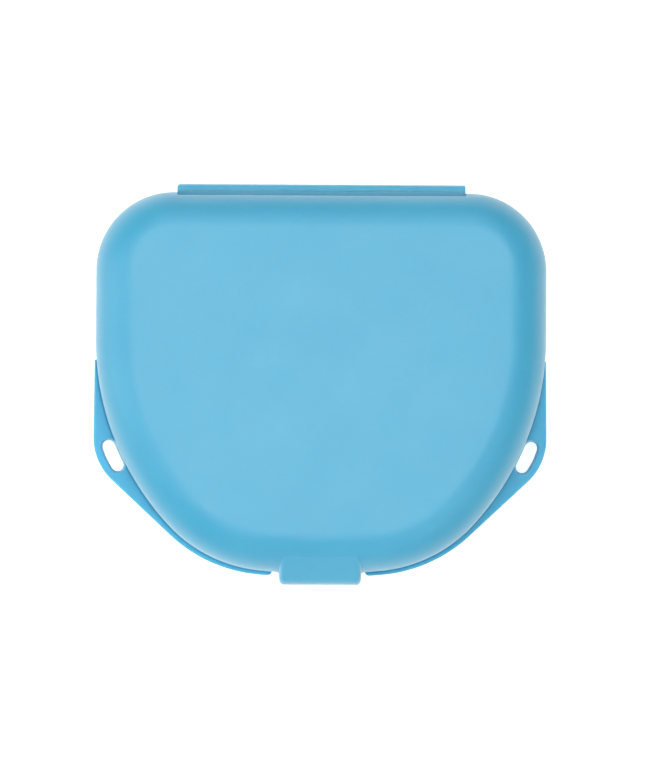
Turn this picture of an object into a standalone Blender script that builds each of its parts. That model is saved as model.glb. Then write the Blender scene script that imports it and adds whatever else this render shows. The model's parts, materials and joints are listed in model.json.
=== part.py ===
"""Retainer case, a snap-shut case moulded in one plastic.

Seen from above, the case is an arch: a nearly straight front, two long curved sides and a straight rear edge.
That outline is a chain of tangent arcs, and the tray and the lid are shells lofted over insets of it.
The tray carries a flange with two slotted ears and a catch, the lid carries a snap tab that hooks under the
catch, and a thin web that folds behind the rear edge is the hinge. The front is at -Y, and Z is up.
"""

from math import copysign, cos, pi, radians, sin, tan

import bmesh
import bpy
from mathutils import Vector

# Clearance between pieces that touch, and how far a cutting shape runs past what it cuts
GAP = 0.0003
OVERRUN = 0.001

# Outline at the parting plane, from the middle of the front round to the middle of the rear
FRONT_RADIUS = 0.1146
FRONT_TURN = radians(5.5)
CORNER_RADIUS = 0.026
CORNER_TURN = radians(41.6)
SIDE_RADIUS = 0.0496
SIDE_STRAIGHT = 0.0124
REAR_RADIUS = 0.0142
FRONT_STEPS = 2
CORNER_STEPS = 8
SIDE_STEPS = 8
REAR_STEPS = 9

# Tray and lid shells
TRAY_HEIGHT = 0.0135
LID_HEIGHT = 0.0135
WALL = 0.0016
DRAFT = radians(1.5)
TRAY_ROUND = 0.006
FOOT_WIDTH = 0.003
FOOT_HEIGHT = 0.0004
DOME_ROUND = 0.0071
DOME_LEAN = 0.0006
DOME_CROWN = 0.0003
DOME_SHARES = (0.2, 0.45, 0.7, 0.88, 1.0)
EDGE_STEPS = 9

# Locating lip on the tray, which the lid's stepped rim goes over
LIP_HEIGHT = 0.0015
LIP_THICKNESS = 0.0007
LIP_CHAMFER = 0.0002

# Flange below the lid's edge, with an ear and a slot on each side
FLANGE_THICKNESS = 0.0016
FLANGE_REACH = 0.00073
FLANGE_EAR_REACH = 0.00114
FLANGE_END_ROUND = 0.0007
EAR_RADIUS = 0.0105
EAR_REACH = 0.00037
EAR_SETBACK = 0.02447
EAR_LENGTH = 0.01417
EAR_END_REACH = 0.0002
EAR_STEPS = 14
SLOT_LENGTH = 0.0061
SLOT_END_WIDTH = 0.0022
SLOT_BULGE = 0.0002
SLOT_SETBACK = 0.00278
SLOT_TURN = radians(25.3)
SLOT_STEPS = 8
SLOT_SIDE_STEPS = 5

# Hinge leaves on the tray and the lid, and the folded web between them
HINGE_WIDTH = 0.0523
LEAF_REACH = 0.0004
LEAF_THICKNESS = 0.0007
WEB_THICKNESS = 0.00035
WEB_STEPS = 12

# Snap tab on the lid, its hook, and the catch on the tray
TAB_WIDTH = 0.01475
TAB_REACH = 0.0019
TAB_THICKNESS = 0.0009
TAB_ROOT_THICKNESS = 0.0006
TAB_ROOT_TURN = radians(61)
TAB_SLOPE = radians(35)
TAB_DROP = 0.0051
TAB_TIP_ROUND = 0.0006
TAB_TOE_ROUND = 0.0003
TAB_CORNER_ROUND = 0.00065
TAB_CORNER_SHARE = 0.8
TAB_SIDE_GAP = 0.0011
HOOK_DROP = 0.0033
HOOK_LAND = 0.0003
CATCH_WIDTH = 0.01
ROUND_STEPS = 5

# Colour, roughness and metallic value of the plastic
BLUE = (0.156, 0.509, 0.723, 1.0)
ROUGHNESS = 0.42
METALLIC = 0.0
SHARP_ANGLE = radians(35)

# Heights
PARTING = TRAY_HEIGHT
TOP = TRAY_HEIGHT + LID_HEIGHT
TRAY_TOP = PARTING - GAP / 2
LID_BOTTOM = PARTING + GAP / 2
TRAY_SPRING = TRAY_ROUND
LID_SPRING = TOP - DOME_CROWN - DOME_ROUND
LIP_TOP = TRAY_TOP + LIP_HEIGHT
LIP_INSET = WALL - LIP_THICKNESS
SKIRT = LIP_INSET - GAP
TRAY_LEAN = (TRAY_TOP - TRAY_SPRING) * tan(DRAFT)
LID_LEAN = (LID_SPRING - LID_BOTTOM) * tan(DRAFT)

# The arcs as (straight before the arc, radius, turn, steps)
ARCS = (
    (0, FRONT_RADIUS, FRONT_TURN, FRONT_STEPS),
    (0, CORNER_RADIUS, CORNER_TURN, CORNER_STEPS),
    (0, SIDE_RADIUS, pi / 2 - FRONT_TURN - CORNER_TURN, SIDE_STEPS),
    (SIDE_STRAIGHT, REAR_RADIUS, pi / 2, REAR_STEPS),
)


def outward(heading):
    """The direction out of the case where the outline runs along heading."""
    return Vector((sin(heading), -cos(heading)))


def half_outline(inset, front):
    """The right-hand half of the outline, moved in by inset, from the front middle to the rear corner's end."""
    edge = Vector((0, front))
    heading = 0
    points = [edge - outward(heading) * inset]
    for straight, radius, turn, steps in ARCS:
        edge = edge + Vector((cos(heading), sin(heading))) * straight
        centre = edge - outward(heading) * radius
        for step in range(0 if straight else 1, steps + 1):
            points.append(centre + outward(heading + turn * step / steps) * (radius - inset))
        heading += turn
        edge = centre + outward(heading) * radius
    return points


# Plan sizes that follow from the arcs, with the whole case centred on the origin
HALF_WIDTH = max(point.x for point in half_outline(0, 0))
OUTLINE_DEPTH = half_outline(0, 0)[-1].y
WEB_RADIUS = GAP / 2 + LEAF_THICKNESS
HINGE_REACH = LEAF_REACH + GAP + WEB_RADIUS
FRONT = TAB_REACH - (TAB_REACH + OUTLINE_DEPTH + HINGE_REACH) / 2
REAR = FRONT + OUTLINE_DEPTH

# The web opens flat to the length of its own fold, which puts the hinge axis half that length behind the leaves
WEB_CENTRE = REAR + LEAF_REACH + GAP
WEB_FOLD = pi * (WEB_RADIUS - WEB_THICKNESS / 2) + 2 * GAP
HINGE_AXIS = Vector((0, REAR + LEAF_REACH + WEB_FOLD / 2, PARTING))


def outline(inset):
    """The closed outline, moved in by inset."""
    right = half_outline(inset, FRONT)
    left = [Vector((-point.x, point.y)) for point in reversed(right[1:])]
    return right + left


def ring(inset, height, lean=0):
    """The outline as a level ring, moved in by inset and towards the hinge by lean."""
    return [Vector((point.x, point.y + lean, height)) for point in outline(inset)]


def rounded_edge(inset, spring, radius, lean):
    """Rings over a quarter-round edge, from an upright wall at the spring height to the level."""
    rings = []
    for step in range(EDGE_STEPS + 1):
        turn = pi / 2 * step / EDGE_STEPS
        share = 1 - cos(turn)
        rings.append(ring(inset + abs(radius) * share, spring + radius * sin(turn), lean * share))
    return rings


def crown(edge_ring, share):
    """The ring at a share of the way out over a slightly crowned top, whose edge is edge_ring."""
    middle = sum(edge_ring, Vector((0, 0, 0))) / len(edge_ring)
    rise_share = (1 - share * share) / (1 - DOME_SHARES[0] * DOME_SHARES[0])
    return [middle.lerp(point, share) + Vector((0, 0, DOME_CROWN * rise_share)) for point in edge_ring]


def rounded(corners):
    """A closed outline through corners of (first, second, radius), with an arc at each corner."""
    points = []
    for index, (first, second, radius) in enumerate(corners):
        corner = Vector((first, second))
        back = (Vector(corners[index - 1][:2]) - corner).normalized()
        ahead = (Vector(corners[(index + 1) % len(corners)][:2]) - corner).normalized()
        if not radius:
            points.append(corner)
            continue
        half_angle = back.angle(ahead) / 2
        centre = corner + (back + ahead).normalized() * radius / sin(half_angle)
        start = corner + back * radius / tan(half_angle) - centre
        end = corner + ahead * radius / tan(half_angle) - centre
        for step in range(ROUND_STEPS + 1):
            spoke = start.lerp(end, step / ROUND_STEPS).normalized()
            points.append(centre + spoke * radius)
    return points


def level(points, height):
    """Plan points as a level ring."""
    return [Vector((point[0], point[1], height)) for point in points]


def upright(points, place):
    """Points of a side profile, (y, z), as an upright ring at x = place."""
    return [Vector((place, point[0], point[1])) for point in points]


def plastic(name):
    """The blue plastic as a material of its own for one piece."""
    material = bpy.data.materials.new(name)
    material.use_nodes = True
    shader = material.node_tree.nodes["Principled BSDF"]
    shader.inputs["Base Color"].default_value = BLUE
    shader.inputs["Roughness"].default_value = ROUGHNESS
    shader.inputs["Metallic"].default_value = METALLIC
    return material


def loft(name, rings, origin=Vector((0, 0, 0))):
    """A closed body over rings with equal numbers of points, capped at its first and last ring."""
    mesh = bpy.data.meshes.new(name)
    shape = bmesh.new()
    loops = [[shape.verts.new(point - origin) for point in points] for points in rings]
    for one, other in zip(loops, loops[1:]):
        for index, corner in enumerate(one):
            shape.faces.new((one[index - 1], corner, other[index], other[index - 1]))
    shape.faces.new(loops[0])
    shape.faces.new(loops[-1])
    bmesh.ops.recalc_face_normals(shape, faces=shape.faces)
    shape.to_mesh(mesh)
    shape.free()
    mesh.shade_smooth()
    mesh.set_sharp_from_angle(angle=SHARP_ANGLE)
    body = bpy.data.objects.new(name, mesh)
    body.location = origin
    bpy.context.scene.collection.objects.link(body)
    return body


def combine(body, operation, tool):
    """Adds, cuts or keeps with tool, a hidden helper that moves with the body."""
    tool.hide_render = True
    tool.display_type = "WIRE"
    tool.parent = body
    tool.location = tool.location - body.location
    change = body.modifiers.new(tool.name, "BOOLEAN")
    change.operation = operation
    change.solver = "EXACT"
    change.object = tool


def hull_of_right_side(points):
    """The outer, right-hand side of the hull of plan points, from the front one to the rear one."""
    chain = []
    for point in sorted(points, key=lambda place: (place.y, place.x)):
        while len(chain) > 1:
            run = chain[-1] - chain[-2]
            step = point - chain[-2]
            if run.x * step.y - run.y * step.x > 0:
                break
            chain.pop()
        chain.append(point)
    return chain


EAR_CENTRE = Vector((HALF_WIDTH + EAR_REACH - EAR_RADIUS, FRONT + EAR_SETBACK))
NOTCH_HALF = TAB_WIDTH / 2 + TAB_SIDE_GAP


def flange_plan():
    """The right-hand flange from above: from the notch beside the tab, round the ear, and back inside the wall."""
    rim = []
    for near, far in zip(half_outline(-FLANGE_REACH, FRONT), half_outline(-FLANGE_EAR_REACH, FRONT)):
        point = near.lerp(far, min(1, near.x / EAR_CENTRE.x))
        if point.x > NOTCH_HALF + FLANGE_END_ROUND:
            rim.append(point)
    ear = []
    for step in range(EAR_STEPS + 1):
        turn = pi / 2 * (step / EAR_STEPS - 1)
        ear.append(EAR_CENTRE + Vector((cos(turn), sin(turn))) * EAR_RADIUS)
    ear_end = Vector((HALF_WIDTH + EAR_END_REACH, EAR_CENTRE.y + EAR_LENGTH))
    front_of_rim = [point for point in rim if point.y < EAR_CENTRE.y]
    outside = hull_of_right_side(front_of_rim + ear + [ear_end])

    end_front = outside[0].y
    end_centre = Vector((NOTCH_HALF + FLANGE_END_ROUND, end_front + FLANGE_END_ROUND))
    notch_end = []
    for step in range(ROUND_STEPS + 1):
        turn = pi + pi / 2 * step / ROUND_STEPS
        notch_end.append(end_centre + Vector((cos(turn), sin(turn))) * FLANGE_END_ROUND)

    inside = [point for point in half_outline(WALL / 2, FRONT) if point.x > NOTCH_HALF and point.y < ear_end.y]
    inside = inside + [Vector((HALF_WIDTH - WALL / 2, ear_end.y))]
    inside_start = Vector((NOTCH_HALF, FRONT + WALL / 2))
    return notch_end + outside + list(reversed(inside)) + [inside_start]


def slot_plan():
    """The right-hand slot from above, a long hole along the ear's round edge, widest at its middle."""
    across = Vector((cos(SLOT_TURN), -sin(SLOT_TURN)))
    along = Vector((sin(SLOT_TURN), cos(SLOT_TURN)))
    centre = EAR_CENTRE + across * (EAR_RADIUS - SLOT_SETBACK)
    half = SLOT_END_WIDTH / 2
    straight = SLOT_LENGTH / 2 - half
    places = []
    for end in (1, -1):
        for step in range(SLOT_STEPS + 1):
            turn = pi * step / SLOT_STEPS
            places.append((end * half * cos(turn), end * (straight + half * sin(turn))))
        for step in range(1, SLOT_SIDE_STEPS):
            places.append((-end * half, end * straight * (1 - 2 * step / SLOT_SIDE_STEPS)))
    points = []
    for out, far in places:
        bulge = SLOT_BULGE * cos(pi * far / SLOT_LENGTH) ** 2
        points.append(centre + across * (out + copysign(bulge, out)) + along * far)
    return points


def mirrored(points):
    """Plan points on the other side of the case."""
    return [Vector((-point.x, point.y)) for point in points]


def leaf_plan(overlap):
    """A hinge leaf from above, which reaches into its wall by overlap."""
    half = HINGE_WIDTH / 2
    front = REAR - overlap
    back = REAR + LEAF_REACH
    return [Vector((-half, front)), Vector((half, front)), Vector((half, back)), Vector((-half, back))]


# The tab's line in side view: down the slope, and in from it at a right angle
DOWN_SLOPE = Vector((-cos(TAB_SLOPE), -sin(TAB_SLOPE)))
INTO_SLOPE = Vector((sin(TAB_SLOPE), -cos(TAB_SLOPE)))
TAB_ROOT = Vector((
    FRONT + LID_LEAN + (DOME_ROUND + DOME_LEAN) * (1 - cos(TAB_ROOT_TURN)),
    LID_SPRING + DOME_ROUND * sin(TAB_ROOT_TURN),
))
TAB_FRONT = FRONT - TAB_REACH
TAB_INSIDE = TAB_FRONT + TAB_THICKNESS
TAB_BOTTOM = PARTING - TAB_DROP
HOOK_TOP = PARTING - HOOK_DROP
TAB_SEAT = FRONT - GAP
CATCH_FRONT = TAB_INSIDE + GAP
CATCH_BOTTOM = HOOK_TOP + GAP
FLEX_LINE = TAB_ROOT + INTO_SLOPE * TAB_ROOT_THICKNESS / 2
FLEX_AXIS = Vector((0, FLEX_LINE.x, FLEX_LINE.y))


def down_to(start, place):
    """The height at which the slope that goes through start reaches y = place."""
    return start.y - (start.x - place) * tan(TAB_SLOPE)


def tab_profile(pull):
    """The tab from the side, its front face set back by pull: the sloping top, the front, the hook, the back."""
    under = TAB_ROOT + INTO_SLOPE * TAB_ROOT_THICKNESS
    front = TAB_FRONT + pull
    return rounded([
        (TAB_ROOT.x, TAB_ROOT.y, 0),
        (front, down_to(TAB_ROOT, front), TAB_TIP_ROUND),
        (front, TAB_BOTTOM, min(TAB_TOE_ROUND, (TAB_INSIDE - front) / 2)),
        (TAB_INSIDE, TAB_BOTTOM, 0),
        (TAB_SEAT, HOOK_TOP - HOOK_LAND, 0),
        (TAB_SEAT, HOOK_TOP, 0),
        (TAB_INSIDE, HOOK_TOP, 0),
        (TAB_INSIDE, LID_BOTTOM, 0),
        (TAB_SEAT, LID_BOTTOM, 0),
        (TAB_SEAT, down_to(under, TAB_SEAT), 0),
        (under.x, under.y, 0),
    ])


def tab_rings():
    """Side profiles across the tab, set back over its two round front corners."""
    corner = min(TAB_CORNER_ROUND, TAB_THICKNESS * TAB_CORNER_SHARE)
    places = []
    for step in range(ROUND_STEPS + 1):
        turn = pi / 2 * step / ROUND_STEPS
        places.append((TAB_WIDTH / 2 - corner + corner * sin(turn), corner * (1 - cos(turn))))
    other_side = [(-place, pull) for place, pull in reversed(places)]
    return [upright(tab_profile(pull), place) for place, pull in other_side + places]


def tab_seat_profile():
    """What the tab's root takes out of the lid's rounded edge, from the side."""
    depth = TAB_ROOT_THICKNESS + GAP
    rear_low = TAB_ROOT - DOWN_SLOPE * GAP + INTO_SLOPE * depth
    run = (rear_low.x - TAB_FRONT) / cos(TAB_SLOPE)
    front_low = rear_low + DOWN_SLOPE * run
    clear = INTO_SLOPE * (depth + OVERRUN)
    return [rear_low, front_low, front_low - clear, rear_low - clear]


def catch_profile():
    """The catch from the side, a wedge whose upper face lets the hook ride over it."""
    back = FRONT + WALL / 2
    return [
        Vector((back, TRAY_TOP)),
        Vector((FRONT, TRAY_TOP)),
        Vector((CATCH_FRONT, (TRAY_TOP + CATCH_BOTTOM) / 2)),
        Vector((CATCH_FRONT, CATCH_BOTTOM)),
        Vector((back, CATCH_BOTTOM)),
    ]


def web_profile():
    """The folded web from the side, a thin half ring behind the leaves."""
    points = []
    for radius, direction in ((WEB_RADIUS, -1), (WEB_RADIUS - WEB_THICKNESS, 1)):
        for step in range(WEB_STEPS + 1):
            turn = direction * pi * (step / WEB_STEPS - 1 / 2)
            points.append(Vector((WEB_CENTRE + radius * cos(turn), PARTING + radius * sin(turn))))
    return points


def make_tray():
    """The tray: foot, rounded lower edge, wall, lip, and the flange, leaf and catch that are moulded on it."""
    foot_inset = TRAY_LEAN + TRAY_ROUND + FOOT_WIDTH
    outer = rounded_edge(TRAY_LEAN, TRAY_SPRING, -TRAY_ROUND, 0)
    inner = rounded_edge(TRAY_LEAN + WALL, TRAY_SPRING, WALL - TRAY_ROUND, 0)
    rings = [ring(foot_inset + FOOT_HEIGHT, FOOT_HEIGHT), ring(foot_inset, 0)]
    rings += reversed(outer)
    rings += [ring(0, TRAY_TOP), ring(LIP_INSET, TRAY_TOP), ring(LIP_INSET, LIP_TOP - LIP_CHAMFER)]
    rings += [ring(LIP_INSET + LIP_CHAMFER, LIP_TOP), ring(WALL, LIP_TOP)]
    rings += inner
    tray = loft("base_tray", rings)

    flange_bottom = TRAY_TOP - FLANGE_THICKNESS
    for side, plan, slot in (
        ("right", flange_plan(), slot_plan()),
        ("left", mirrored(flange_plan()), mirrored(slot_plan())),
    ):
        flange = loft("flange_" + side, [level(plan, flange_bottom), level(plan, TRAY_TOP)])
        combine(tray, "UNION", flange)
        heights = (flange_bottom - OVERRUN, TRAY_TOP + OVERRUN)
        combine(tray, "DIFFERENCE", loft("slot_" + side, [level(slot, height) for height in heights]))

    leaf = leaf_plan(WALL / 2)
    combine(tray, "UNION", loft("tray_leaf", [level(leaf, TRAY_TOP - LEAF_THICKNESS), level(leaf, TRAY_TOP)]))
    catch_ends = (-CATCH_WIDTH / 2, CATCH_WIDTH / 2)
    combine(tray, "UNION", loft("catch", [upright(catch_profile(), end) for end in catch_ends]))
    return tray


def make_lid():
    """The lid: crowned top, rounded edge, wall and stepped rim, with its leaf, and the seat of the snap tab."""
    outer = rounded_edge(LID_LEAN, LID_SPRING, DOME_ROUND, DOME_LEAN)
    inner = rounded_edge(LID_LEAN + WALL, LID_SPRING, DOME_ROUND - WALL, DOME_LEAN)
    step_top = LIP_TOP + GAP
    rings = [crown(outer[-1], share) for share in DOME_SHARES]
    rings += list(reversed(outer))[1:]
    rings += [ring(0, LID_BOTTOM), ring(SKIRT, LID_BOTTOM), ring(SKIRT, step_top), ring(WALL, step_top)]
    rings += inner
    lid = loft("lid", rings, HINGE_AXIS)

    leaf = leaf_plan(SKIRT / 2)
    combine(lid, "UNION", loft("lid_leaf", [level(leaf, LID_BOTTOM), level(leaf, LID_BOTTOM + LEAF_THICKNESS)]))
    seat_ends = (-TAB_WIDTH / 2 - GAP, TAB_WIDTH / 2 + GAP)
    combine(lid, "DIFFERENCE", loft("tab_seat", [upright(tab_seat_profile(), end) for end in seat_ends]))
    return lid


def make_hinge_strap():
    """The thin web that folds behind the two leaves."""
    ends = (-HINGE_WIDTH / 2, HINGE_WIDTH / 2)
    return loft("hinge_strap", [upright(web_profile(), end) for end in ends])


def make_latch_tab(lid):
    """The snap tab, which flexes at its root on the lid."""
    tab = loft("latch_tab", tab_rings(), FLEX_AXIS)
    tab.parent = lid
    tab.location = FLEX_AXIS - HINGE_AXIS
    return tab


def build():
    """Clears the scene and makes the four pieces, each with its own material."""
    for old in list(bpy.data.objects):
        bpy.data.objects.remove(old, do_unlink=True)
    lid = make_lid()
    for piece in (make_tray(), lid, make_hinge_strap(), make_latch_tab(lid)):
        piece.data.materials.append(plastic(piece.name))


build()
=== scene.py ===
"""Finish of the retainer case: fine moulded shells in place of the plain solids, their plastic, the studio.

Each shell is lofted over insets of the case's outline, a chain of tangent arcs from the middle of the front
round to the middle of the rear. The front is at -Y and Z is up. Everything is in metres.
"""

import json
from math import asin, atan, copysign, cos, pi, radians, sin, sqrt, tan

import bmesh
import bpy
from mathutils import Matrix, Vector


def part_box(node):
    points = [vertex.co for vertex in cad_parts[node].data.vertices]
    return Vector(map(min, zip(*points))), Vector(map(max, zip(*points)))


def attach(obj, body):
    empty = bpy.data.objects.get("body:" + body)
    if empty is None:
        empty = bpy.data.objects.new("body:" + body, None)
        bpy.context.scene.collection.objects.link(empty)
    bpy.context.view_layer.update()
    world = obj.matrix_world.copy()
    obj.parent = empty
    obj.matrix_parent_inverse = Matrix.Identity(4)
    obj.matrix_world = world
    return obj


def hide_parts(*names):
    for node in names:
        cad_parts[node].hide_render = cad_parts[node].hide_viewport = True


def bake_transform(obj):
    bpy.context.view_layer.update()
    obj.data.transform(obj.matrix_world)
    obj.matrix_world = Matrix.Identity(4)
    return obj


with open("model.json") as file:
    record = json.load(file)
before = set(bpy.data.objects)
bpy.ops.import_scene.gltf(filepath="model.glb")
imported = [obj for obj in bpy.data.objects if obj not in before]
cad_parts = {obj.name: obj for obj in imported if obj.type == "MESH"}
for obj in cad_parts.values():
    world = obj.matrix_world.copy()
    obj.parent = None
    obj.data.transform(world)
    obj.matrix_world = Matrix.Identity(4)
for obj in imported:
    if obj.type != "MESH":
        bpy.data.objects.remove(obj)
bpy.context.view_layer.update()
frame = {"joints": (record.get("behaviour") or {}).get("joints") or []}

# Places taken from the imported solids
LID_LOW, LID_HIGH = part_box("lid")
TRAY_LOW, TRAY_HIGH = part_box("base_tray")
WEB_LOW, WEB_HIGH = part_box("hinge_strap")
TAB_LOW, TAB_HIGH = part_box("latch_tab")
HINGE = next(joint for joint in frame["joints"] if joint["name"] == "lid_hinge")
PARTING = HINGE["pos_m"][2]
TOP = LID_HIGH.z
FRONT = LID_LOW.y

# Outline at the parting plane, from the middle of the front round to the middle of the rear
FRONT_RADIUS = 0.1146
FRONT_TURN = radians(5.5)
CORNER_RADIUS = 0.026
CORNER_TURN = radians(41.6)
SIDE_RADIUS = 0.0496
SIDE_STRAIGHT = 0.0124
REAR_RADIUS = 0.0142
STATION_STEP = 0.0007

# Shells: cutting tools pass a surface by OVERRUN, and flats have a ring HOLD away from a rounding
OVERRUN = 0.001
SEAM = 0.00012
WALL = 0.0016
DRAFT = radians(1.5)
TRAY_ROUND = 0.006
FOOT_WIDTH = 0.003
FOOT_HEIGHT = 0.0004
FOOT_SLOPE = 0.0006
DOME_ROUND = 0.0071
DOME_LEAN = 0.0006
DOME_CROWN = 0.0003
CROWN_POWER = 3
CROWN_RINGS = 16
CROWN_SPACING = 0.6
ROUND_RINGS = 26
WALL_RINGS = 5
EDGE_ROUND = 0.0002
EDGE_RINGS = 4
CORNER_STEPS = 7
HOLD = 0.0003

# Locating lip of the tray and the lid's stepped rim over it
LIP_HEIGHT = 0.0015
LIP_THICKNESS = 0.0007
LIP_ROUND = 0.00015
LIP_CLEARANCE = 0.0003

# Flange with an ear and a slot on each side
FLANGE_THICKNESS = 0.0016
FLANGE_REACH = 0.00062
FLANGE_EAR_REACH = 0.00114
FLANGE_END_ROUND = 0.0007
FLANGE_FILLET = 0.0005
FLANGE_ROUND = 0.00028
EAR_TOP_ROUND = 0.00042
EAR_TOP_SPAN = 0.0012
TOP_RINGS = 6
GUTTER_START = 0.0004
GUTTER_END = -0.00025
GUTTER_DEPTH = 0.00012
GUTTER_RINGS = 10
EAR_RADIUS = 0.0105
EAR_REACH = 0.00037
EAR_SETBACK = 0.02447
EAR_LENGTH = 0.01417
EAR_END_REACH = 0.0002
EAR_STEPS = 60
SLOT_LENGTH = 0.006
SLOT_END_WIDTH = 0.0021
SLOT_BULGE = 0.0002
SLOT_SETBACK = 0.00283
SLOT_TURN = radians(25.3)
SLOT_STEPS = 20
SLOT_SIDE_STEPS = 16
SLOT_ROUND = 0.0001
SLOT_DRAFT = radians(10.5)
SLOT_RIM_TURN = radians(70)
SLOT_PAST = 0.00002
NOTCH_SHIFT = 0.0002
STEP_WIDTH = 0.00002

# Hinge leaves and the web folded behind them
LEAF_REACH = 0.0004
LEAF_CORNER = 0.0002
RECESS_DEPTH = 0.00075
RECESS_LIFT = 0.00002
RECESS_HEIGHT = 0.009
RECESS_CORNER = 0.0003
WEB_THICKNESS = 0.00035
WEB_STEPS = 28
WEB_LEFT_ROUND = 0.0005
WEB_RIGHT_ROUND = 0.0002
WEB_OVERLAP = 0.0001
WEB_THINNING = 0.00006
WEB_SINK = 0.00001

# Snap tab, its hook, the catch, and the fillets beside the tab
TAB_THICKNESS = 0.0009
TAB_SLOPE = radians(35)
TAB_TIP_ROUND = 0.0026
TAB_TOE_ROUND = 0.0003
TAB_SIDE_ROUND = 0.00085
TAB_CORNER_ROUND = 0.00085
TAB_LOW_CORNER = 0.001
TAB_BACK_GAP = 0.00005
TAB_SINK = 0.00015
TAB_HIDDEN_TURN = radians(9)
TAB_HIDDEN_STEPS = 5
TAB_SIDE_GAP = 0.0011
TAB_ACROSS = 8
TAB_EDGE_STEPS = 9
TAB_TOP_SHARES = (0.12, 0.3, 0.5, 0.7)
TAB_ROOT_DEPTH = 0.001
TAB_DIVE_START = radians(22)
TAB_DIVE_TURN = radians(22)
TAB_SEAT_GAP = 0.0003
HOOK_DROP = 0.0033
HOOK_LAND = 0.0003
HOOK_ROUND = 0.00012
CATCH_WIDTH = 0.01
CATCH_ROUND = 0.00015
CATCH_DEPTH = 0.00285
GUSSET_ROUND = 0.00055
GUSSET_SINK = 0.0002
GUSSET_GAP = 0.00002
GUSSET_TOP = 0.0012

# Plastic, with noise sizes in metres
PLASTIC_IOR = 1.62
PLASTIC_GLOW = 0.8
GLOW_SPREAD = (0.5, 0.95, 0.95)
SHEEN_ROUGHNESS = 0.52
BLUE_DEEP = (0.034, 0.380, 0.588)
BLUE_PALE = (0.046, 0.410, 0.612)
BLUE_WORN = (0.120, 0.470, 0.660)
LID_SHEEN = 0.38
LID_GLOW = 0.0003
# Piece: (how much paler than the lid, which is painted light: the same plastic brightened where a piece takes
# less light than the lid, such as the ears and web in the lid's shade, how much rougher, sheen, how deep
# light goes in)
PLASTICS = {
    "tray_shell": (1.1, 0.12, 0.3, 0.0008),
    "lid_shell": (1.0, 0.0, LID_SHEEN, LID_GLOW),
    "hinge_web": (1.1, 0.06, 1.0, 0.001),
    "snap_tab": (1.03, 0.0, 0.7, LID_GLOW),
}
SPECK_SHARE = 0.4
FLOW_SIZE = 0.012
FLOW_DETAIL = 3
SPECK_SIZE = 0.00022
SPECK_DETAIL = 2
GRAIN_DEPTH = 0.000008
WAVE_SIZE = 0.009
WAVE_DEPTH = 0.000008
SMEAR_SIZE = 0.006
SMEAR_DETAIL = 4
ROUGH_LEAST = 0.45
ROUGH_MOST = 0.49
ROUGH_WORN = 0.08
RUB_SIZE = 0.0015
RUB_DETAIL = 4
RUB_LEAST = 0.1
RUB_MOST = 0.6
NOISE_LOW = 0.3
NOISE_HIGH = 0.7

# Studio: lamps are (name, place, radius, brightness)
LAMPS = (
    ("overhead", (-0.02, 0.0, 1.25), 0.28, 9.2),
    ("left", (-0.68, -0.1, 0.82), 0.25, 3.2),
    ("left_low", (-1.02, -0.1, 0.4), 0.25, 4.0),
    ("right", (0.6, -0.6, 0.85), 0.2, 4.8),
    ("rear", (0.0, 0.72, 0.96), 0.2, 5.4),
    ("front", (0.0, -0.95, 0.55), 0.2, 2.2),
)
WORLD_LIGHT = 0.28
FLOOR_REACH = 8
FLOOR_DROP = 0.00003
FLOOR_WHITE = 0.9
FLOOR_LIFT = 0.5

# Camera
SENSOR = 36
FRAME_HEIGHT = 0.1406
CAMERA_DISTANCE = 1.1
CAMERA_X = 0.00038
CAMERA_Y = -0.00051
CAMERA_LEAN = radians(1)
CAMERA_TURN = radians(0.28)

# Marks that moulding leaves: ejector pins inside, the gate under the tray
PIN_RADIUS = 0.002
PIN_DEPTH = 0.00007
PIN_STEPS = 40
PIN_SPREAD = 0.019
PIN_SHARE = 0.8
GATE_RADIUS = 0.0011
GATE_HEIGHT = 0.00018

# Meshes: wear starts and is full where a rounding turns by so many radians in a metre
SHARP_ANGLE = radians(32)
MERGE = 0.000002
WEAR_START = 500
WEAR_FULL = 2400
WEAR_WIDEST = 0.0005
HOLD_SPAN = 0.00005
TINY = 0.000000001
BISECTIONS = 40

# Stretches of the outline: (straight run before the arc, radius, turn)
ARCS = (
    (0, FRONT_RADIUS, FRONT_TURN),
    (0, CORNER_RADIUS, CORNER_TURN),
    (0, SIDE_RADIUS, pi / 2 - FRONT_TURN - CORNER_TURN),
    (SIDE_STRAIGHT, REAR_RADIUS, pi / 2),
)


def outward(heading):
    """The direction out of the case where the outline runs along heading."""
    return Vector((sin(heading), -cos(heading), 0))


def place_at(length):
    """The right-hand outline's point at a length from the middle of the front, and which way is out there."""
    edge = Vector((0, FRONT, 0))
    heading = 0
    for straight, radius, turn in ARCS:
        along = Vector((cos(heading), sin(heading), 0))
        if length <= straight:
            return edge + along * length, outward(heading)
        length -= straight
        centre = edge + along * straight - outward(heading) * radius
        if length <= radius * turn:
            heading += length / radius
            return centre + outward(heading) * radius, outward(heading)
        length -= radius * turn
        heading += turn
        edge = centre + outward(heading) * radius
    return edge + Vector((cos(heading), sin(heading), 0)) * length, outward(heading)


CURVED_LENGTH = sum(straight + radius * turn for straight, radius, turn in ARCS)
REAR_CORNER = place_at(CURVED_LENGTH)[0]
HALF_LENGTH = CURVED_LENGTH + REAR_CORNER.x
REAR = REAR_CORNER.y
MIDDLE = (FRONT + REAR) / 2
HALF_WIDTH = LID_HIGH.x


def even_lengths():
    """Lengths along the half outline in even steps within each of its stretches."""
    ends = [0]
    for straight, radius, turn in ARCS:
        if straight:
            ends.append(ends[-1] + straight)
        ends.append(ends[-1] + radius * turn)
    ends.append(HALF_LENGTH)
    lengths = [0]
    for start, end in zip(ends, ends[1:]):
        steps = max(1, round((end - start) / STATION_STEP))
        lengths += [start + (end - start) * step / steps for step in range(1, steps + 1)]
    return lengths


def mirrored(stations):
    """Right-hand stations as they are on the left."""
    return [(Vector((-point.x, point.y, 0)), Vector((-way.x, way.y, 0))) for point, way in stations]


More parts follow.
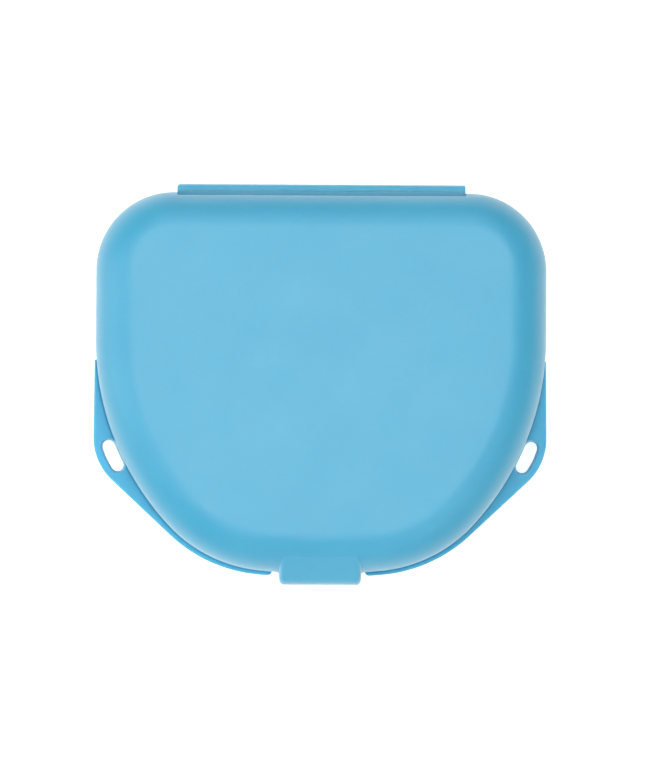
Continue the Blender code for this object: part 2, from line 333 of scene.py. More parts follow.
# Stations all round the outline, each a point and the way out there
LENGTHS = even_lengths()
RIGHT_STATIONS = [place_at(length) for length in LENGTHS]
STATIONS = RIGHT_STATIONS + mirrored(RIGHT_STATIONS[1:-1])[::-1]


def ring(inset, height, lean=0, stations=STATIONS):
    """The outline as a level ring, moved in by inset and towards the hinge by lean."""
    points = []
    for point, way in stations:
        points.append(Vector((point.x - way.x * inset, point.y - way.y * inset + lean, height)))
    return points


def arc(steps, start=0.0, end=pi / 2):
    """Angles from start to end."""
    return [start + (end - start) * step / steps for step in range(steps + 1)]


def circle_points(centre, radius, turns):
    """Points on a level circle, at turns counted from the X axis."""
    return [centre + Vector((cos(turn), sin(turn), 0)) * radius for turn in turns]


def rounded(corners):
    """A closed outline through corners of (first, second, radius), with an arc at each rounded corner."""
    points = []
    for index, (first, second, radius) in enumerate(corners):
        corner = Vector((first, second))
        back = (Vector(corners[index - 1][:2]) - corner).normalized()
        ahead = (Vector(corners[(index + 1) % len(corners)][:2]) - corner).normalized()
        if not radius:
            points.append(corner)
            continue
        half_angle = back.angle(ahead) / 2
        centre = corner + (back + ahead).normalized() * radius / sin(half_angle)
        start = corner + back * radius / tan(half_angle) - centre
        end = corner + ahead * radius / tan(half_angle) - centre
        for step in range(CORNER_STEPS + 1):
            points.append(centre + start.lerp(end, step / CORNER_STEPS).normalized() * radius)
    return points


def level(points, height):
    """Plan points as a level ring."""
    return [Vector((point[0], point[1], height)) for point in points]


def upright(points, place):
    """Points of a side profile, (y, z), as an upright ring at x = place."""
    return [Vector((place, point[0], point[1])) for point in points]


def loft(name, rings):
    """A closed body over rings with equal numbers of points, capped at its first and last ring."""
    shape = bmesh.new()
    loops = [[shape.verts.new(point) for point in points] for points in rings]
    for one, other in zip(loops, loops[1:]):
        for index, corner in enumerate(one):
            shape.faces.new((one[index - 1], corner, other[index], other[index - 1]))
    shape.faces.new(loops[0])
    shape.faces.new(loops[-1])
    bmesh.ops.remove_doubles(shape, verts=shape.verts, dist=MERGE)
    bmesh.ops.recalc_face_normals(shape, faces=shape.faces)
    mesh = bpy.data.meshes.new(name)
    shape.to_mesh(mesh)
    shape.free()
    body = bpy.data.objects.new(name, mesh)
    bpy.context.scene.collection.objects.link(body)
    return body


def combine(body, operation, tool):
    """Adds or cuts with tool, and removes the tool."""
    change = body.modifiers.new(tool.name, "BOOLEAN")
    change.operation = operation
    change.solver = "EXACT"
    change.object = tool
    seen = body.evaluated_get(bpy.context.evaluated_depsgraph_get())
    body.data = bpy.data.meshes.new_from_object(seen)
    body.modifiers.clear()
    bpy.data.objects.remove(tool, do_unlink=True)


def rounded_edge(inset, spring, radius, lean):
    """Rings over a quarter-round edge, from an upright wall at the spring height to the level."""
    rings = []
    for turn in arc(ROUND_RINGS):
        share = 1 - cos(turn)
        rings.append(ring(inset + radius * share, spring + radius * sin(turn), lean * share))
    return rings


def between(low, high, steps):
    """Heights inside a stretch, without its ends."""
    return [low + (high - low) * step / steps for step in range(1, steps)]


# Heights and insets of the shells, with a fine seam between the tray and the lid
TRAY_TOP = PARTING - SEAM / 2
LID_BOTTOM = PARTING + SEAM / 2
LID_SPRING = TOP - DOME_CROWN - DOME_ROUND
LID_LEAN = (LID_SPRING - LID_LOW.z) * tan(DRAFT)
TRAY_SPRING = TRAY_ROUND
TRAY_LEAN = (TRAY_TOP - TRAY_SPRING) * tan(DRAFT)
LIP_TOP = TRAY_HIGH.z
LIP_INSET = WALL - LIP_THICKNESS
SKIRT = LIP_INSET - LIP_CLEARANCE
STEP_TOP = LIP_TOP + LIP_CLEARANCE

# Underside of the flange, half the gap that the tab has in it, and each ear's round and rear end
FLANGE_BOTTOM = TRAY_HIGH.z - LIP_HEIGHT - FLANGE_THICKNESS
NOTCH_HALF = TAB_HIGH.x + TAB_SIDE_GAP
EAR_CENTRE = Vector((HALF_WIDTH + EAR_REACH - EAR_RADIUS, FRONT + EAR_SETBACK, 0))
EAR_END = Vector((HALF_WIDTH + EAR_END_REACH, EAR_CENTRE.y + EAR_LENGTH, 0))

# Height of the hook, and how far in it reaches
HOOK_TOP = PARTING - HOOK_DROP
HOOK_SEAT = FRONT - TAB_SEAT_GAP


def bow_at(place):
    """How far the front of the outline has bent back at x = place."""
    return FRONT_RADIUS - sqrt(FRONT_RADIUS * FRONT_RADIUS - place * place)


def wall_inset(height):
    """How far the lid's drafted wall stands in from the outline at a height."""
    return LID_LEAN * (height - LID_BOTTOM) / (LID_SPRING - LID_BOTTOM)


def dome_rings():
    """The crowned top, from its middle out to where the rounded edge starts."""
    edge = rounded_edge(LID_LEAN, LID_SPRING, DOME_ROUND, DOME_LEAN)[-1]
    middle = sum(edge, Vector((0, 0, 0))) / len(edge)
    rings = []
    for step in range(1, CROWN_RINGS):
        share = (step / CROWN_RINGS) ** CROWN_SPACING
        rise = Vector((0, 0, DOME_CROWN * (1 - share ** CROWN_POWER)))
        rings.append([middle.lerp(point, share) + rise for point in edge])
    return rings


def tray_inset(height):
    """How far the tray's drafted wall stands in from the outline at a height."""
    return TRAY_LEAN * (TRAY_TOP - height) / (TRAY_TOP - TRAY_SPRING)


def length_at_depth(depth):
    """The length along the right-hand outline at which it reaches y = depth."""
    low = 0
    high = HALF_LENGTH
    for _ in range(BISECTIONS):
        middle = (low + high) / 2
        if place_at(middle)[0].y < depth:
            low = middle
        else:
            high = middle
    return low


def hull_of_right_side(points):
    """The outer, right-hand side of the hull of plan points, from the front one to the rear one."""
    chain = []
    for point in sorted(points, key=lambda place: (place.y, place.x)):
        while len(chain) > 1:
            run = chain[-1] - chain[-2]
            step = point - chain[-2]
            if run.x * step.y - run.y * step.x > 0:
                break
            chain.pop()
        chain.append(point)
    return chain


def flange_edge(notch):
    """The right-hand flange's outer edge from above, from the notch beside the tab to the ear's rear end."""
    front = []
    for point, way in RIGHT_STATIONS:
        share = min(1, point.x / EAR_CENTRE.x)
        rim = point + way * (FLANGE_REACH + (FLANGE_EAR_REACH - FLANGE_REACH) * share)
        if notch + FLANGE_END_ROUND < rim.x and rim.y < EAR_CENTRE.y:
            front.append(rim)
    ear = circle_points(EAR_CENTRE, EAR_RADIUS, arc(EAR_STEPS, -pi / 2, 0))
    outside = hull_of_right_side(front + ear + [EAR_END])
    corner = Vector((notch + FLANGE_END_ROUND, outside[0].y + FLANGE_END_ROUND, 0))
    end = circle_points(corner, FLANGE_END_ROUND, arc(EAR_STEPS, pi, 3 * pi / 2))
    return end + outside


def reach_to(edge, point, way):
    """How far out from a point of the outline the flange's edge lies."""
    best = 0
    for one, other in zip(edge, edge[1:]):
        run = other - one
        across = way.x * run.y - way.y * run.x
        if abs(across) < TINY:
            continue
        gap = one - point
        out = (gap.x * run.y - gap.y * run.x) / across
        share = (gap.x * way.y - gap.y * way.x) / across
        if -TINY < share < 1 + TINY:
            best = max(best, out)
    return best


def tray_side(notch):
    """Right-hand stations of the tray, denser at the flange's ends, and how far out it reaches at each."""
    start = FRONT_RADIUS * asin(notch / FRONT_RADIUS)
    end = length_at_depth(EAR_END.y)
    extra = [start - STEP_WIDTH / 2, end - STEP_WIDTH / 2, end + STEP_WIDTH / 2]
    extra += [start + STEP_WIDTH / 2 + FLANGE_END_ROUND * (1 - cos(turn)) for turn in arc(CORNER_STEPS)]
    edge = flange_edge(notch)
    stations = []
    reaches = []
    for length in sorted(LENGTHS + extra):
        point, way = place_at(length)
        stations.append((point, way))
        reaches.append(reach_to(edge, point, way) if start < length < end else 0)
    return stations, reaches


def flange_section(reach):
    """Distances out from the wall and heights, from the flange's fillet to the inner edge of its top."""
    fit = min(1, reach / (FLANGE_FILLET + FLANGE_ROUND))
    fillet = FLANGE_FILLET * fit
    edge = FLANGE_ROUND * fit
    wide = min(1, max(0, (reach - FLANGE_REACH) / EAR_TOP_SPAN))
    top = EDGE_ROUND + (EAR_TOP_ROUND - EDGE_ROUND) * wide
    grown = min(1, reach / FLANGE_REACH)
    gutter = GUTTER_START * grown - EDGE_ROUND * (1 - grown)
    section = []
    for turn in arc(EDGE_RINGS):
        section.append((fillet * (1 - cos(turn)), FLANGE_BOTTOM - fillet * (1 - sin(turn))))
    for turn in arc(EDGE_RINGS):
        section.append((reach - edge * (1 - sin(turn)), FLANGE_BOTTOM + edge * (1 - cos(turn))))
    for turn in arc(TOP_RINGS):
        section.append((reach - top * (1 - cos(turn)), TRAY_TOP - top * (1 - sin(turn))))
    section.append((max(gutter, reach - top - HOLD), TRAY_TOP))
    for turn in arc(GUTTER_RINGS, 0, 2 * pi):
        depth = GUTTER_DEPTH * grown * (1 - cos(turn)) / 2
        section.append((gutter + (GUTTER_END - gutter) * turn / (2 * pi), TRAY_TOP - depth))
    return section


def flange_rings():
    """The tray's stations, and rings over the flange, or over the plain wall where there is none."""
    right, right_reaches = tray_side(NOTCH_HALF - NOTCH_SHIFT)
    left, left_reaches = tray_side(NOTCH_HALF + NOTCH_SHIFT)
    stations = right + mirrored(left[1:-1])[::-1]
    sections = [flange_section(reach) for reach in right_reaches + left_reaches[1:-1][::-1]]
    rings = []
    for row in zip(*sections):
        points = []
        for (point, way), (out, height) in zip(stations, row):
            moved = point + way * (out - tray_inset(height))
            points.append(Vector((moved.x, moved.y, height)))
        rings.append(points)
    return stations, rings


def slot_plan(grow):
    """The right-hand slot from above, widest at its middle, made wider by grow all round."""
    across = Vector((cos(SLOT_TURN), -sin(SLOT_TURN), 0))
    along = Vector((sin(SLOT_TURN), cos(SLOT_TURN), 0))
    centre = EAR_CENTRE + across * (EAR_RADIUS - SLOT_SETBACK)
    straight = (SLOT_LENGTH - SLOT_END_WIDTH) / 2
    half = SLOT_END_WIDTH / 2 + grow
    places = []
    for end in (1, -1):
        for turn in arc(SLOT_STEPS, 0, pi):
            places.append((end * half * cos(turn), end * (straight + half * sin(turn))))
        for step in range(1, SLOT_SIDE_STEPS):
            places.append((-end * half, end * straight * (1 - 2 * step / SLOT_SIDE_STEPS)))
    points = []
    for out, far in places:
        bulge = SLOT_BULGE * cos(pi * far / (SLOT_LENGTH + 2 * grow)) ** 2
        points.append(centre + across * (out + copysign(bulge, out)) + along * far)
    return points


def slot_tool(side):
    """What cuts a slot with rounded rims and a drafted wall; side is 1 on the right and -1 on the left."""
    rims = []
    for turn in arc(EDGE_RINGS, 0, SLOT_RIM_TURN):
        rims.append((SLOT_ROUND * (1 - cos(turn)), SLOT_ROUND * (1 - sin(turn))))
    flare = SLOT_PAST / tan(pi / 2 - SLOT_RIM_TURN)
    spread = (TRAY_TOP - FLANGE_BOTTOM) * tan(SLOT_DRAFT)
    rings = [(rims[-1][0] + flare, FLANGE_BOTTOM + rims[-1][1] - SLOT_PAST)]
    rings += [(grow, FLANGE_BOTTOM + depth) for grow, depth in reversed(rims)]
    rings += [(spread + grow, TRAY_TOP - depth) for grow, depth in rims]
    rings += [(spread + rims[-1][0] + flare, TRAY_TOP - rims[-1][1] + SLOT_PAST)]
    plans = []
    for grow, height in rings:
        plans.append([Vector((point.x * side, point.y, height)) for point in slot_plan(grow)])
    return loft("slot", plans)


def leaf_plan(overlap, pull):
    """A hinge leaf from above: overlap is how far it reaches into its wall, and pull draws its edges in."""
    half = WEB_HIGH.x - pull
    front = REAR - overlap
    back = REAR + LEAF_REACH - pull
    corners = [
        (-half, front, 0),
        (half, front, 0),
        (half, back, LEAF_CORNER),
        (-half, back, LEAF_CORNER),
    ]
    return rounded(corners)


def leaf_tool(name, seam, outside, overlap):
    """A hinge leaf between the seam and its outer face, whose outer edge is rounded."""
    away = 1 if outside > seam else -1
    rings = [level(leaf_plan(overlap, 0), seam)]
    for turn in arc(EDGE_RINGS):
        height = outside - away * EDGE_ROUND * (1 - sin(turn))
        rings.append(level(leaf_plan(overlap, EDGE_ROUND * (1 - cos(turn))), height))
    return loft(name, rings)


def recess_tool():
    """What cuts the flat over the lid's leaf, back to where the rounded edge has come in as far."""
    half = WEB_HIGH.x
    front = REAR - RECESS_DEPTH
    back = REAR + OVERRUN
    corners = [
        (-half, front, RECESS_CORNER),
        (half, front, RECESS_CORNER),
        (half, back, 0),
        (-half, back, 0),
    ]
    plan = rounded(corners)
    return loft("recess", [level(plan, WEB_HIGH.z + rise) for rise in (RECESS_LIFT, RECESS_HEIGHT)])


def catch_tool():
    """The catch on the tray's front, a wedge whose upper face lets the hook ride over it."""
    back = FRONT + WALL / 2
    top = TRAY_TOP - EDGE_ROUND
    low = TRAY_HIGH.z - LIP_HEIGHT - CATCH_DEPTH
    front = TRAY_LOW.y
    places = []
    for turn in arc(CORNER_STEPS):
        places.append((CATCH_WIDTH / 2 - CATCH_ROUND * (1 - sin(turn)), CATCH_ROUND * (1 - cos(turn))))
    places = [(-place, pull) for place, pull in reversed(places)] + places
    rings = []
    for place, pull in places:
        corners = [
            (back, top, 0),
            (FRONT, top, 0),
            (front + pull, (top + low) / 2, CATCH_ROUND),
            (front + pull, low + pull, CATCH_ROUND),
            (back, low + pull, 0),
        ]
        rings.append(upright(rounded(corners), place))
    return loft("catch", rings)


def disc_tool(name, x, y, start, end, radius, crown=0.0):
    """A round tool from one height to another; crown bevels its edge at the second."""
    rings = []
    bevel = copysign(crown, end - start)
    for height, width in ((start, radius), (end - bevel, radius), (end, radius - crown)):
        rings.append(circle_points(Vector((x, y, height)), width, arc(PIN_STEPS, 0, 2 * pi)[:-1]))
    return loft(name, rings)


def pin_places():
    """Where the ejector pins push, on both sides of the middle."""
    places = []
    for side in (1, -1):
        for depth in (1, -1):
            places.append((side * PIN_SPREAD, MIDDLE + depth * PIN_SPREAD * PIN_SHARE))
    return places


def make_tray():
    """The tray: foot, rounded lower edge, wall, flange with its ears, lip, inside, leaf, catch and slots."""
    stations, flange = flange_rings()

    def tray_ring(inset, height):
        return ring(inset, height, 0, stations)

    foot = TRAY_LEAN + TRAY_ROUND + FOOT_WIDTH
    rings = [tray_ring(foot + FOOT_SLOPE + HOLD, FOOT_HEIGHT)]
    for turn in arc(ROUND_RINGS, 0, pi):
        rings.append(tray_ring(foot + FOOT_SLOPE * (1 - turn / pi), FOOT_HEIGHT * (1 + cos(turn)) / 2))
    for turn in reversed(arc(ROUND_RINGS)):
        inset = TRAY_LEAN + TRAY_ROUND * (1 - cos(turn))
        rings.append(tray_ring(inset, TRAY_SPRING - TRAY_ROUND * sin(turn)))
    for height in between(TRAY_SPRING, FLANGE_BOTTOM - FLANGE_FILLET, WALL_RINGS):
        rings.append(tray_ring(tray_inset(height), height))
    rings += flange
    rings.append(tray_ring(LIP_INSET, TRAY_TOP))
    for turn in arc(EDGE_RINGS):
        drop = LIP_ROUND * (1 - sin(turn))
        rings.append(tray_ring(LIP_INSET + LIP_ROUND * (1 - cos(turn)), LIP_TOP - drop))
    for turn in reversed(arc(EDGE_RINGS)):
        drop = LIP_ROUND * (1 - sin(turn))
        rings.append(tray_ring(WALL - LIP_ROUND * (1 - cos(turn)), LIP_TOP - drop))
    for height in reversed(between(TRAY_SPRING, TRAY_TOP, WALL_RINGS)):
        rings.append(tray_ring(WALL + tray_inset(height), height))
    inner_round = TRAY_ROUND - WALL
    for turn in arc(ROUND_RINGS):
        inset = TRAY_LEAN + WALL + inner_round * (1 - cos(turn))
        rings.append(tray_ring(inset, TRAY_SPRING - inner_round * sin(turn)))
    rings.append(tray_ring(TRAY_LEAN + TRAY_ROUND + HOLD, WALL))
    tray = loft("tray_shell", rings)

    combine(tray, "UNION", leaf_tool("leaf", TRAY_TOP, WEB_LOW.z, WALL / 2))
    combine(tray, "UNION", catch_tool())
    for side in (1, -1):
        combine(tray, "DIFFERENCE", slot_tool(side))
    for x, y in pin_places():
        pin = disc_tool("pin", x, y, WALL - PIN_DEPTH, WALL + OVERRUN, PIN_RADIUS)
        combine(tray, "DIFFERENCE", pin)
    gate_end = FOOT_HEIGHT - GATE_HEIGHT
    gate = disc_tool("gate", 0, MIDDLE, WALL / 2, gate_end, GATE_RADIUS, GATE_HEIGHT / 2)
    combine(tray, "UNION", gate)
    return tray


def gusset_tool(side):
    """The fillet between one side of the tab and the lid's wall, faded out over the rounded edge."""
    half = TAB_HIGH.x + GUSSET_GAP
    low = LID_BOTTOM + EDGE_ROUND
    high = LID_SPRING + GUSSET_TOP
    rings = []
    for turn in arc(ROUND_RINGS, 0, pi):
        share = (1 - cos(turn)) / 2
        height = low + (high - low) * share
        radius = GUSSET_ROUND * max(0, min(1, (high - height) / (2 * GUSSET_TOP)))
        radius = max(radius, GUSSET_GAP)
        wall = FRONT + wall_inset(min(height, LID_SPRING)) + bow_at(half)
        points = [(half, wall + GUSSET_SINK), (half, wall - radius)]
        for bend in arc(CORNER_STEPS)[1:]:
            points.append((half + radius * (1 - cos(bend)), wall - radius * (1 - sin(bend))))
        points.append((half + radius, wall + GUSSET_SINK))
        rings.append([Vector((side * x, y, height)) for x, y in points])
    return loft("gusset", rings)


def make_lid():
    """The lid: crowned top, rounded edge, wall, rounded rim with its step, inside, leaf and gussets."""
    rings = dome_rings()
    rings += reversed(rounded_edge(LID_LEAN, LID_SPRING, DOME_ROUND, DOME_LEAN))
    low = LID_BOTTOM + EDGE_ROUND
    for height in reversed(between(low, LID_SPRING, WALL_RINGS)):
        rings.append(ring(wall_inset(height), height))
    for turn in arc(EDGE_RINGS):
        rings.append(ring(EDGE_ROUND * (1 - cos(turn)), low - EDGE_ROUND * sin(turn)))
    for turn in reversed(arc(EDGE_RINGS)):
        rings.append(ring(SKIRT - LIP_ROUND * (1 - cos(turn)), LID_BOTTOM + LIP_ROUND * (1 - sin(turn))))
    rings.append(ring(SKIRT, STEP_TOP))
    rings.append(ring(WALL - LIP_ROUND, STEP_TOP))
    for turn in arc(EDGE_RINGS)[1:]:
        rings.append(ring(WALL - LIP_ROUND * (1 - sin(turn)), STEP_TOP + LIP_ROUND * (1 - cos(turn))))
    for height in between(STEP_TOP + LIP_ROUND, LID_SPRING, WALL_RINGS):
        rings.append(ring(WALL + wall_inset(height), height))
    inner_round = DOME_ROUND - WALL
    rings += rounded_edge(LID_LEAN + WALL, LID_SPRING, inner_round, DOME_LEAN)
    rings.append(ring(LID_LEAN + DOME_ROUND + HOLD, LID_SPRING + inner_round, DOME_LEAN))
    shell = loft("lid_shell", rings)

    combine(shell, "UNION", leaf_tool("leaf", LID_BOTTOM, WEB_HIGH.z, SKIRT / 2))
    combine(shell, "DIFFERENCE", recess_tool())
    for side in (1, -1):
        combine(shell, "UNION", gusset_tool(side))
    ceiling = LID_SPRING + inner_round
    for x, y in pin_places():
        pin = disc_tool("pin", x, y, ceiling - OVERRUN, ceiling + PIN_DEPTH, PIN_RADIUS)
        combine(shell, "DIFFERENCE", pin)
    return shell


def with_legs(points, length):
    """A fold's points between two straight legs of a length, which lie against the leaves."""
    first = Vector((points[0].x - length, points[0].y))
    last = Vector((points[-1].x - length, points[-1].y))
    return [first] + points + [last]


def make_web():
    """The thin web that folds behind the two leaves, thinnest at the middle of its fold."""
    centre = WEB_LOW.y
    radius = WEB_HIGH.y - WEB_LOW.y
    leg = centre - (REAR + LEAF_REACH - WEB_OVERLAP)
    half = WEB_HIGH.x
    places = []
    for turn in reversed(arc(CORNER_STEPS)):
        places.append((WEB_LEFT_ROUND * (1 - sin(turn)) - half, WEB_LEFT_ROUND * (1 - cos(turn))))
    for turn in arc(CORNER_STEPS):
        places.append((half - WEB_RIGHT_ROUND * (1 - sin(turn)), WEB_RIGHT_ROUND * (1 - cos(turn))))
    rings = []
    for place, pull in places:
        outer = []
        inner = []
        for turn in arc(WEB_STEPS, -pi / 2, pi / 2):
            thick = WEB_THICKNESS - WEB_THINNING * cos(turn) ** 2
            fold = Vector((cos(turn) * (radius - pull) / radius, sin(turn)))
            outer.append(Vector((centre, PARTING)) + fold * (radius - WEB_SINK))
            inner.append(Vector((centre, PARTING)) + fold * (radius - thick))
        rings.append(upright(with_legs(outer, leg) + with_legs(inner, leg)[::-1], place))
    return loft("hinge_web", rings)


# Where the dome's rounded edge has the tab's slope, which is where the tab leaves it
TANGENT_TURN = atan(DOME_ROUND / ((DOME_ROUND + DOME_LEAN) * tan(TAB_SLOPE)))
INTO_SLOPE = Vector((sin(TAB_SLOPE), -cos(TAB_SLOPE)))


def dome_side(turn, out):
    """A point of the lid's rounded edge at the middle of the front, as (y, z), moved outwards by out."""
    normal = Vector((-cos(turn) * DOME_ROUND, sin(turn) * (DOME_ROUND + DOME_LEAN))).normalized()
    place = FRONT + LID_LEAN + (DOME_ROUND + DOME_LEAN) * (1 - cos(turn))
    return Vector((place, LID_SPRING + DOME_ROUND * sin(turn))) + normal * out


def drawn_in(depth, radius):
    """How far a round edge of a radius has drawn the surface in, at a depth from the side."""
    if depth >= radius:
        return 0
    return radius - sqrt(radius * radius - (radius - depth) * (radius - depth))


def tab_profile(place):
    """The snap tab from the side at x = place: top, front, toe, hook and back, as (y, z)."""
    depth = TAB_HIGH.x - abs(place)
    top_pull = drawn_in(depth, TAB_SIDE_ROUND)
    front_pull = drawn_in(depth, TAB_CORNER_ROUND)
    low_pull = drawn_in(depth, TAB_LOW_CORNER)
    bow = bow_at(place)

    points = []
    for turn in arc(TAB_HIDDEN_STEPS, TANGENT_TURN + TAB_HIDDEN_TURN, TANGENT_TURN):
        share = (turn - TANGENT_TURN) / TAB_HIDDEN_TURN
        point = dome_side(turn, -TAB_SINK * share * share - top_pull)
        points.append(point + Vector((bow, 0)))
    leave = dome_side(TANGENT_TURN, 0)
    front = TAB_LOW.y + front_pull
    inside = TAB_LOW.y + TAB_THICKNESS
    start = leave + INTO_SLOPE * top_pull
    tip = Vector((front, start.y - (start.x - front) * tan(TAB_SLOPE)))
    for share in TAB_TOP_SHARES:
        point = start.lerp(tip, share)
        points.append(point + Vector((bow * (1 - share), 0)))
    low = TAB_LOW.z + low_pull
    corners = [
        (start.x, start.y, 0),
        (tip.x, tip.y, TAB_TIP_ROUND),
        (front, low, min(TAB_TOE_ROUND, (inside - front) / 2)),
        (inside, low, 0),
        (HOOK_SEAT, HOOK_TOP - HOOK_LAND, HOOK_ROUND),
        (HOOK_SEAT, HOOK_TOP, HOOK_ROUND),
        (inside, HOOK_TOP, HOOK_ROUND),
        (inside, LID_BOTTOM, HOOK_ROUND),
    ]
    points += rounded(corners)[1:]
    back = FRONT - TAB_BACK_GAP
    points.append(Vector((back + bow, LID_BOTTOM)))
    for height in between(LID_BOTTOM, LID_SPRING, WALL_RINGS):
        points.append(Vector((back + bow + wall_inset(height), height)))
    for turn in arc(ROUND_RINGS, 0, TANGENT_TURN + TAB_HIDDEN_TURN):
        share = min(1, max(0, (turn - TAB_DIVE_START) / TAB_DIVE_TURN))
        out = TAB_BACK_GAP - (TAB_BACK_GAP + TAB_ROOT_DEPTH) * share
        points.append(dome_side(turn, out) + Vector((bow, 0)))
    return points


def make_tab():
    """The snap tab: a strip that leaves the lid's rounded edge, with rounded sides, and its hook."""
    half = TAB_HIGH.x
    widest = max(TAB_SIDE_ROUND, TAB_CORNER_ROUND, TAB_LOW_CORNER)
    places = [half - widest * (1 - sin(turn)) for turn in arc(TAB_EDGE_STEPS)]
    flat = [places[0] * step / TAB_ACROSS for step in range(-TAB_ACROSS + 1, TAB_ACROSS)]
    places = [-place for place in reversed(places)] + flat + places
    return loft("snap_tab", [upright(tab_profile(place), place) for place in places])


def mark_wear(body):
    """Keeps on each point of a rounding how sharply it turns outwards, from 0 to 1, where hands rub it."""
    shape = bmesh.new()
    shape.from_mesh(body.data)
    wear = shape.verts.layers.float.new("wear")
    widths = {}
    for face in shape.faces:
        widths[face] = face.calc_area() / max(edge.calc_length() for edge in face.edges)
    for edge in shape.edges:
        if len(edge.link_faces) != 2:
            continue
        width = min(widths[face] for face in edge.link_faces)
        bend = edge.calc_face_angle_signed(0) / (width + HOLD_SPAN)
        share = min(1, max(0, (bend - WEAR_START) / (WEAR_FULL - WEAR_START)))
        for corner in edge.verts:
            if max(widths[face] for face in corner.link_faces) < WEAR_WIDEST:
                corner[wear] = max(corner[wear], share)
    shape.to_mesh(body.data)
    shape.free()


def finish_piece(body, material):
    """Shades a piece smooth between its sharp edges and gives it its plastic."""
    mark_wear(body)
    body.data.shade_smooth()
    body.data.set_sharp_from_angle(angle=SHARP_ANGLE)
    steady = body.modifiers.new("steady_normals", "WEIGHTED_NORMAL")
    steady.keep_sharp = True
    body.data.materials.clear()
    body.data.materials.append(material)


def plastic(name, lift, rougher, sheen, glow):
    """Light blue polypropylene: flow mottle, fine mould grain and paler, duller edges where hands rub it."""
    # lift is painted light: it makes one plastic paler on the pieces that take less light than the lid
    deep, pale, worn_tone = [[part * lift for part in tone] for tone in (BLUE_DEEP, BLUE_PALE, BLUE_WORN)]
    material = bpy.data.materials.new(name)
    material.use_nodes = True
    tree = material.node_tree
    shader = tree.nodes["Principled BSDF"]
    shader.inputs["IOR"].default_value = PLASTIC_IOR
    shader.inputs["Subsurface Weight"].default_value = PLASTIC_GLOW
    shader.inputs["Subsurface Radius"].default_value = GLOW_SPREAD
    shader.inputs["Subsurface Scale"].default_value = glow
    shader.inputs["Sheen Weight"].default_value = sheen
    shader.inputs["Sheen Roughness"].default_value = SHEEN_ROUGHNESS

    def node(kind, **settings):
        made = tree.nodes.new(kind)
        for key, value in settings.items():
            setattr(made, key, value)
        return made

    def noise(size, detail):
        made = node("ShaderNodeTexNoise")
        made.inputs["Scale"].default_value = 1 / size
        made.inputs["Detail"].default_value = detail
        tree.links.new(places.outputs["Object"], made.inputs["Vector"])
        return made.outputs["Fac"]

    def mapped(source, low, high):
        made = node("ShaderNodeMapRange")
        tree.links.new(source, made.inputs["Value"])
        made.inputs["From Min"].default_value = NOISE_LOW
        made.inputs["From Max"].default_value = NOISE_HIGH
        made.inputs["To Min"].default_value = low
        made.inputs["To Max"].default_value = high
        return made.outputs["Result"]

    def mixed(share, first, second):
        made = node("ShaderNodeMix", data_type="RGBA")
        tree.links.new(share, made.inputs["Factor"])
        for socket, value in (("A", first), ("B", second)):
            target = next(item for item in made.inputs if item.name == socket and item.type == "RGBA")
            if isinstance(value, bpy.types.NodeSocket):
                tree.links.new(value, target)
            else:
                target.default_value = (*value, 1)
        return next(item for item in made.outputs if item.type == "RGBA")

    places = node("ShaderNodeTexCoord")
    wear = node("ShaderNodeAttribute", attribute_name="wear")
    flow = mapped(noise(FLOW_SIZE, FLOW_DETAIL), 0, 1)
    speck = mapped(noise(SPECK_SIZE, SPECK_DETAIL), 0, 1)
    rubbed = node("ShaderNodeMath", operation="MULTIPLY")
    tree.links.new(wear.outputs["Fac"], rubbed.inputs[0])
    tree.links.new(mapped(noise(RUB_SIZE, RUB_DETAIL), RUB_LEAST, RUB_MOST), rubbed.inputs[1])
    mottle = node("ShaderNodeMix")
    mottle.inputs["Factor"].default_value = SPECK_SHARE
    tree.links.new(flow, mottle.inputs["A"])
    tree.links.new(speck, mottle.inputs["B"])
    tone = mixed(mottle.outputs["Result"], deep, pale)
    tone = mixed(rubbed.outputs["Value"], tone, worn_tone)
    tree.links.new(tone, shader.inputs["Base Color"])

    rough = node("ShaderNodeMath", operation="ADD")
    smear = mapped(noise(SMEAR_SIZE, SMEAR_DETAIL), ROUGH_LEAST + rougher, ROUGH_MOST + rougher)
    tree.links.new(smear, rough.inputs[0])
    worn = node("ShaderNodeMath", operation="MULTIPLY")
    tree.links.new(rubbed.outputs["Value"], worn.inputs[0])
    worn.inputs[1].default_value = ROUGH_WORN
    tree.links.new(worn.outputs["Value"], rough.inputs[1])
    tree.links.new(rough.outputs["Value"], shader.inputs["Roughness"])

    bump = node("ShaderNodeBump")
    bump.inputs["Strength"].default_value = 1
    bump.inputs["Distance"].default_value = GRAIN_DEPTH
    tree.links.new(speck, bump.inputs["Height"])
    wave = node("ShaderNodeBump")
    wave.inputs["Strength"].default_value = 1
    wave.inputs["Distance"].default_value = WAVE_DEPTH
    tree.links.new(mapped(noise(WAVE_SIZE, 0), 0, 1), wave.inputs["Height"])
    tree.links.new(wave.outputs["Normal"], bump.inputs["Normal"])
    tree.links.new(bump.outputs["Normal"], shader.inputs["Normal"])
    return material


def seen_directly(tree, rays):
    """A socket that is 1 for what the camera sees, also mirrored, and 0 for what lights the case."""
    seen = rays.outputs["Is Camera Ray"]
    for kind in ("Is Glossy Ray", "Is Transmission Ray"):
        either = tree.nodes.new("ShaderNodeMath")
        either.operation = "MAXIMUM"
        tree.links.new(seen, either.inputs[0])
        tree.links.new(rays.outputs[kind], either.inputs[1])
        seen = either.outputs["Value"]
    return seen


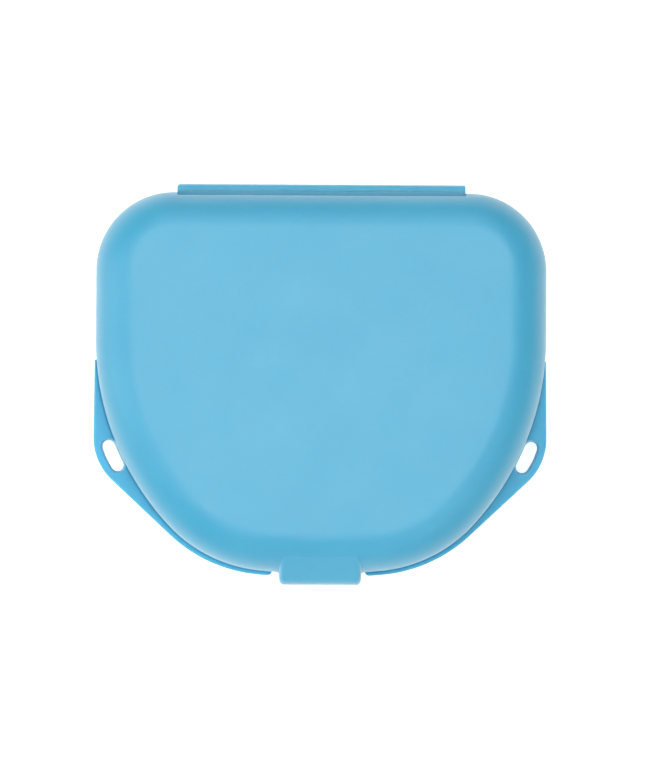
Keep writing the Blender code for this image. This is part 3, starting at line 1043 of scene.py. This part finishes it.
def make_floor():
    """A plain white floor, bright to the camera, that keeps the case's shadow."""
    shape = bmesh.new()
    bmesh.ops.create_grid(shape, x_segments=1, y_segments=1, size=FLOOR_REACH)
    mesh = bpy.data.meshes.new("floor")
    shape.to_mesh(mesh)
    shape.free()
    floor = bpy.data.objects.new("floor", mesh)
    bpy.context.scene.collection.objects.link(floor)
    floor.location.z = -FLOOR_DROP
    material = bpy.data.materials.new("floor")
    material.use_nodes = True
    tree = material.node_tree
    shader = tree.nodes["Principled BSDF"]
    shader.inputs["Base Color"].default_value = (FLOOR_WHITE, FLOOR_WHITE, FLOOR_WHITE, 1)
    shader.inputs["Roughness"].default_value = 1
    shader.inputs["Specular IOR Level"].default_value = 0
    shader.inputs["Emission Color"].default_value = (1, 1, 1, 1)
    rays = tree.nodes.new("ShaderNodeLightPath")
    lift = tree.nodes.new("ShaderNodeMath")
    lift.operation = "MULTIPLY"
    lift.inputs[1].default_value = FLOOR_LIFT
    tree.links.new(seen_directly(tree, rays), lift.inputs[0])
    tree.links.new(lift.outputs["Value"], shader.inputs["Emission Strength"])
    mesh.materials.append(material)


def add_lamp(name, place, radius, strength):
    """A round soft lamp that looks at the case; its strength is how bright its face is, 1 being white."""
    lamp = bpy.data.lights.new(name, "AREA")
    lamp.shape = "DISK"
    lamp.size = 2 * radius
    lamp.energy = strength * pi * pi * radius * radius
    body = bpy.data.objects.new(name, lamp)
    bpy.context.scene.collection.objects.link(body)
    body.location = place
    body.rotation_euler = (Vector((0, 0, PARTING)) - body.location).to_track_quat("-Z", "Y").to_euler()


def set_world():
    """An even, soft white surround."""
    world = bpy.data.worlds.new("studio")
    world.use_nodes = True
    bpy.context.scene.world = world
    backdrop = world.node_tree.nodes["Background"]
    backdrop.inputs["Color"].default_value = (1, 1, 1, 1)
    backdrop.inputs["Strength"].default_value = WORLD_LIGHT


def set_camera():
    """A long lens above the case, leant a little to the left and turned as the photograph is framed."""
    scene = bpy.context.scene
    camera = bpy.data.cameras.new("camera")
    camera.sensor_width = SENSOR
    camera.lens = SENSOR * CAMERA_DISTANCE / FRAME_HEIGHT
    body = bpy.data.objects.new("camera", camera)
    scene.collection.objects.link(body)
    body.rotation_euler = (0, -CAMERA_LEAN, CAMERA_TURN)
    target = Vector((CAMERA_X, CAMERA_Y, PARTING))
    body.location = target + body.rotation_euler.to_matrix() @ Vector((0, 0, CAMERA_DISTANCE))
    scene.camera = body


tray_shell = make_tray()
lid_shell = make_lid()
hinge_web = make_web()
snap_tab = make_tab()
for piece in (tray_shell, lid_shell, hinge_web, snap_tab):
    finish_piece(piece, plastic(piece.name, *PLASTICS[piece.name]))

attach(tray_shell, "base")
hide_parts("base_tray")
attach(lid_shell, "lid")
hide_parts("lid")
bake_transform(hinge_web)
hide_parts("hinge_strap")
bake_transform(snap_tab)
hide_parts("latch_tab")

make_floor()
for name, place, radius, strength in LAMPS:
    add_lamp(name, place, radius, strength)
set_world()
set_camera()

scene = bpy.context.scene
scene.view_settings.view_transform = "Standard"
